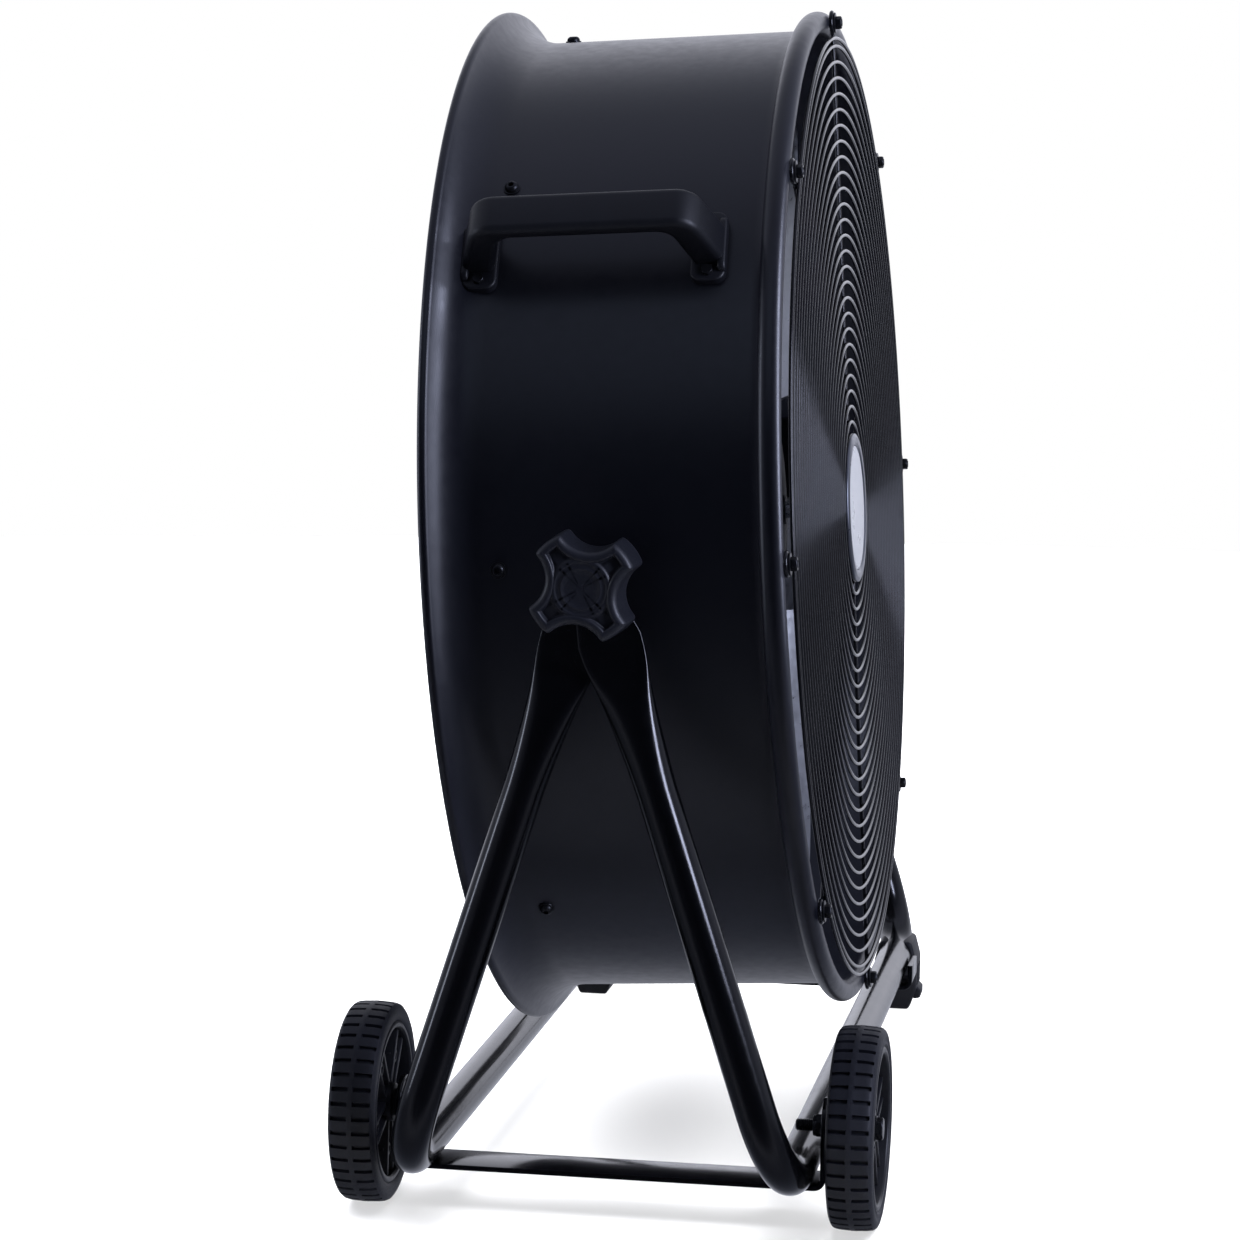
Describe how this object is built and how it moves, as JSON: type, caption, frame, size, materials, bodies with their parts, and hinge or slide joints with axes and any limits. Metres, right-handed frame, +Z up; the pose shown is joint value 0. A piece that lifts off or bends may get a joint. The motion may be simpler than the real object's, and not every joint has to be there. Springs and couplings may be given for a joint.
{
  "type": "drum fan",
  "caption": "Wheeled drum fan: guarded steel drum with axial impeller, tilting on star-knob clamps between two bent tube frames, with a carry handle.",
  "frame": {"origin": "centre of the bounding box in plan, on the floor that the feet and wheels stand on", "axes": "+X the way the air blows, out of the front guard; +Y from the wheels' side across to the feet's side, along the tilt axis; +Z up"},
  "size_m": [0.3462, 0.8084, 0.7682],
  "materials": {
    "drum_paint": "satin black powder coat",
    "frame_paint": "satin black powder coat on steel tube and bar",
    "guard_wire": "gloss black coated wire",
    "black_plastic": "fine-textured black moulding",
    "wheel_plastic": "moulded black wheel centre",
    "tyre_rubber": "black moulded tread",
    "foot_rubber": "matt black moulding",
    "zinc": "bright zinc plated steel",
    "dark_screw": "black zinc screws",
    "badge_silver": "satin silver ring",
    "badge_grey": "plain light grey disc",
    "blade_alu": "mill finish sheet",
    "motor_paint": "black enamel",
    "stator_steel": "laminations and windings",
    "brass": "machined insert"
  },
  "bodies": {
    "frame": {"rear_frame_tube": "frame_paint", "front_frame_tube": "frame_paint", "near_strap": "frame_paint", "far_strap": "frame_paint", "rear_foot": "foot_rubber", "front_foot": "foot_rubber", "foot_screws": "zinc", "axle_bolts": "zinc", "axle_nuts": "zinc", "axle_washers": "zinc"},
    "drum": {"drum_shell": "drum_paint", "front_guard_rings": "guard_wire", "front_guard_ribs": "guard_wire", "badge_dish": "guard_wire", "badge_ring": "badge_silver", "badge_disc": "badge_grey", "front_guard_washers": "dark_screw", "front_guard_screws": "dark_screw", "rear_guard_rings": "guard_wire", "rear_guard_ribs": "guard_wire", "rear_guard_screws": "dark_screw", "rear_guard_nuts": "zinc", "motor_plate": "motor_paint", "motor_rear_cap": "motor_paint", "motor_housing": "motor_paint", "motor_front_cap": "motor_paint", "motor_screws": "zinc", "motor_stator": "stator_steel", "motor_bearings": "zinc", "switch_box": "black_plastic", "rotary_switch": "black_plastic", "run_capacitor": "black_plastic", "cable_gland": "black_plastic", "motor_lead_conduit": "black_plastic", "handle": "black_plastic", "handle_screws": "dark_screw", "near_clamp_bolt": "zinc", "far_clamp_bolt": "zinc", "clamp_spacers": "frame_paint", "backing_plates": "frame_paint"},
    "impeller": {"motor_shaft": "zinc", "motor_rotor": "stator_steel", "impeller_hub": "blade_alu", "impeller_blades": "blade_alu", "impeller_nut": "zinc"},
    "near_clamp": {"near_clamp_washer": "zinc"},
    "near_knob": {"near_knob": "black_plastic", "near_knob_insert": "brass"},
    "far_clamp": {"far_clamp_washer": "zinc"},
    "far_knob": {"far_knob": "black_plastic", "far_knob_insert": "brass"},
    "speed_knob": {"speed_knob": "black_plastic"},
    "rear_wheel": {"rear_wheel_tyre": "tyre_rubber", "rear_wheel_core": "wheel_plastic"},
    "front_wheel": {"front_wheel_tyre": "tyre_rubber", "front_wheel_core": "wheel_plastic"}
  },
  "joints": [
    {"name": "drum_tilt", "type": "hinge", "parent": "frame", "child": "drum", "pos_m": [0, 0, 0.4183], "axis": [0, 1, 0], "continuous": true},
    {"name": "impeller_spin", "type": "hinge", "parent": "drum", "child": "impeller", "pos_m": [-0.00019, 0, 0.4219], "axis": [0.9985, 0, 0.0541], "continuous": true},
    {"name": "near_clamp_travel", "type": "slide", "parent": "drum", "child": "near_clamp", "axis": [0, -1, 0], "range_m": [0, 0.0015]},
    {"name": "near_knob_turn", "type": "hinge", "parent": "near_clamp", "child": "near_knob", "pos_m": [0, -0.385, 0.4183], "axis": [0, -1, 0], "range_deg": [0, 360]},
    {"name": "far_clamp_travel", "type": "slide", "parent": "drum", "child": "far_clamp", "axis": [0, 1, 0], "range_m": [0, 0.0015]},
    {"name": "far_knob_turn", "type": "hinge", "parent": "far_clamp", "child": "far_knob", "pos_m": [0, 0.385, 0.4183], "axis": [0, 1, 0], "range_deg": [0, 360]},
    {"name": "speed_knob_turn", "type": "hinge", "parent": "drum", "child": "speed_knob", "pos_m": [-0.0966, 0.2083, 0.42669], "axis": [-0.9985, 0, -0.0541], "range_deg": [-90, 0]},
    {"name": "rear_wheel_spin", "type": "hinge", "parent": "frame", "child": "rear_wheel", "pos_m": [-0.1577, -0.276, 0.0645], "axis": [1, 0, 0], "continuous": true},
    {"name": "front_wheel_spin", "type": "hinge", "parent": "frame", "child": "front_wheel", "pos_m": [0.1577, -0.276, 0.0645], "axis": [1, 0, 0], "continuous": true}
  ],
  "couplings": [
    {"joint": "near_clamp_travel", "follows": "near_knob_turn", "m_per_rad": 0.00023873},
    {"joint": "far_clamp_travel", "follows": "far_knob_turn", "m_per_rad": 0.00023873}
  ]
}
